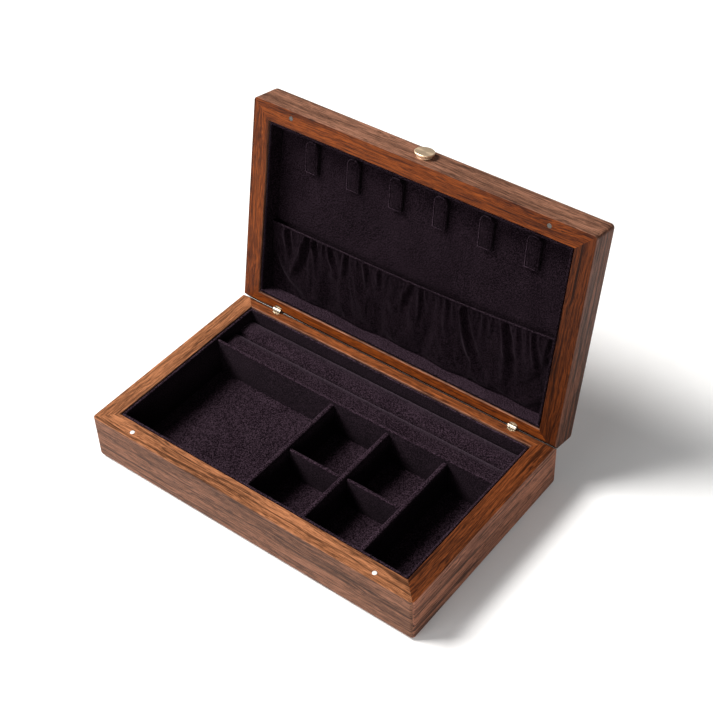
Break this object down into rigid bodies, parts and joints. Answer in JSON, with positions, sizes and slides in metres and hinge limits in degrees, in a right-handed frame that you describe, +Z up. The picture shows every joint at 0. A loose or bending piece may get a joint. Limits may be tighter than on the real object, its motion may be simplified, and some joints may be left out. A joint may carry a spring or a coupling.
{
  "type": "jewellery box",
  "caption": "Mitred walnut jewellery box with a hinged lid, fabric-lined compartments, ring rolls, necklace tabs and a gathered lid pocket, shown open.",
  "frame": {"origin": "centre of the underside of the base", "axes": "+Z up, -Y towards the front, +X to the right; stored with the lid open on its stop"},
  "size_m": [0.28, 0.2212, 0.204],
  "materials": {
    "walnut": "satin",
    "lining": "matte",
    "elastic": "matte",
    "brass": "satin",
    "steel": "satin",
    "magnet": "gloss",
    "knob": "gloss"
  },
  "bodies": {
    "base": {"base_rail_front": "walnut", "base_rail_back": "walnut", "base_rail_left": "walnut", "base_rail_right": "walnut", "base_panel": "walnut", "tray_floor": "lining", "tray_wall_front": "lining", "tray_wall_back": "lining", "tray_wall_left": "lining", "tray_wall_right": "lining", "long_divider": "lining", "cross_divider_left": "lining", "cross_divider_middle": "lining", "cross_divider_right": "lining", "short_divider_left": "lining", "short_divider_right": "lining", "ring_roll_front": "lining", "ring_roll_back": "lining", "base_magnets": "magnet", "base_hinge_barrels": "brass", "hinge_pins": "steel"},
    "lid": {"lid_rail_front": "walnut", "lid_rail_back": "walnut", "lid_rail_left": "walnut", "lid_rail_right": "walnut", "lid_panel": "walnut", "lining_board": "lining", "lining_wall_front": "lining", "lining_wall_back": "lining", "lining_wall_left": "lining", "lining_wall_right": "lining", "hook_tab_1": "lining", "hook_tab_2": "lining", "hook_tab_3": "lining", "hook_tab_4": "lining", "hook_tab_5": "lining", "hook_tab_6": "lining", "hook_tab_feet": "lining", "pocket_cloth": "lining", "pocket_elastic": "elastic", "lid_magnets": "magnet", "lid_hinge_barrels": "brass", "knob": "knob", "knob_screw": "steel"}
  },
  "joints": [
    {"name": "lid_hinge", "type": "hinge", "parent": "base", "child": "lid", "pos_m": [0, 0.0798, 0.0392], "axis": [1, 0, 0], "range_deg": [0, 101]}
  ]
}
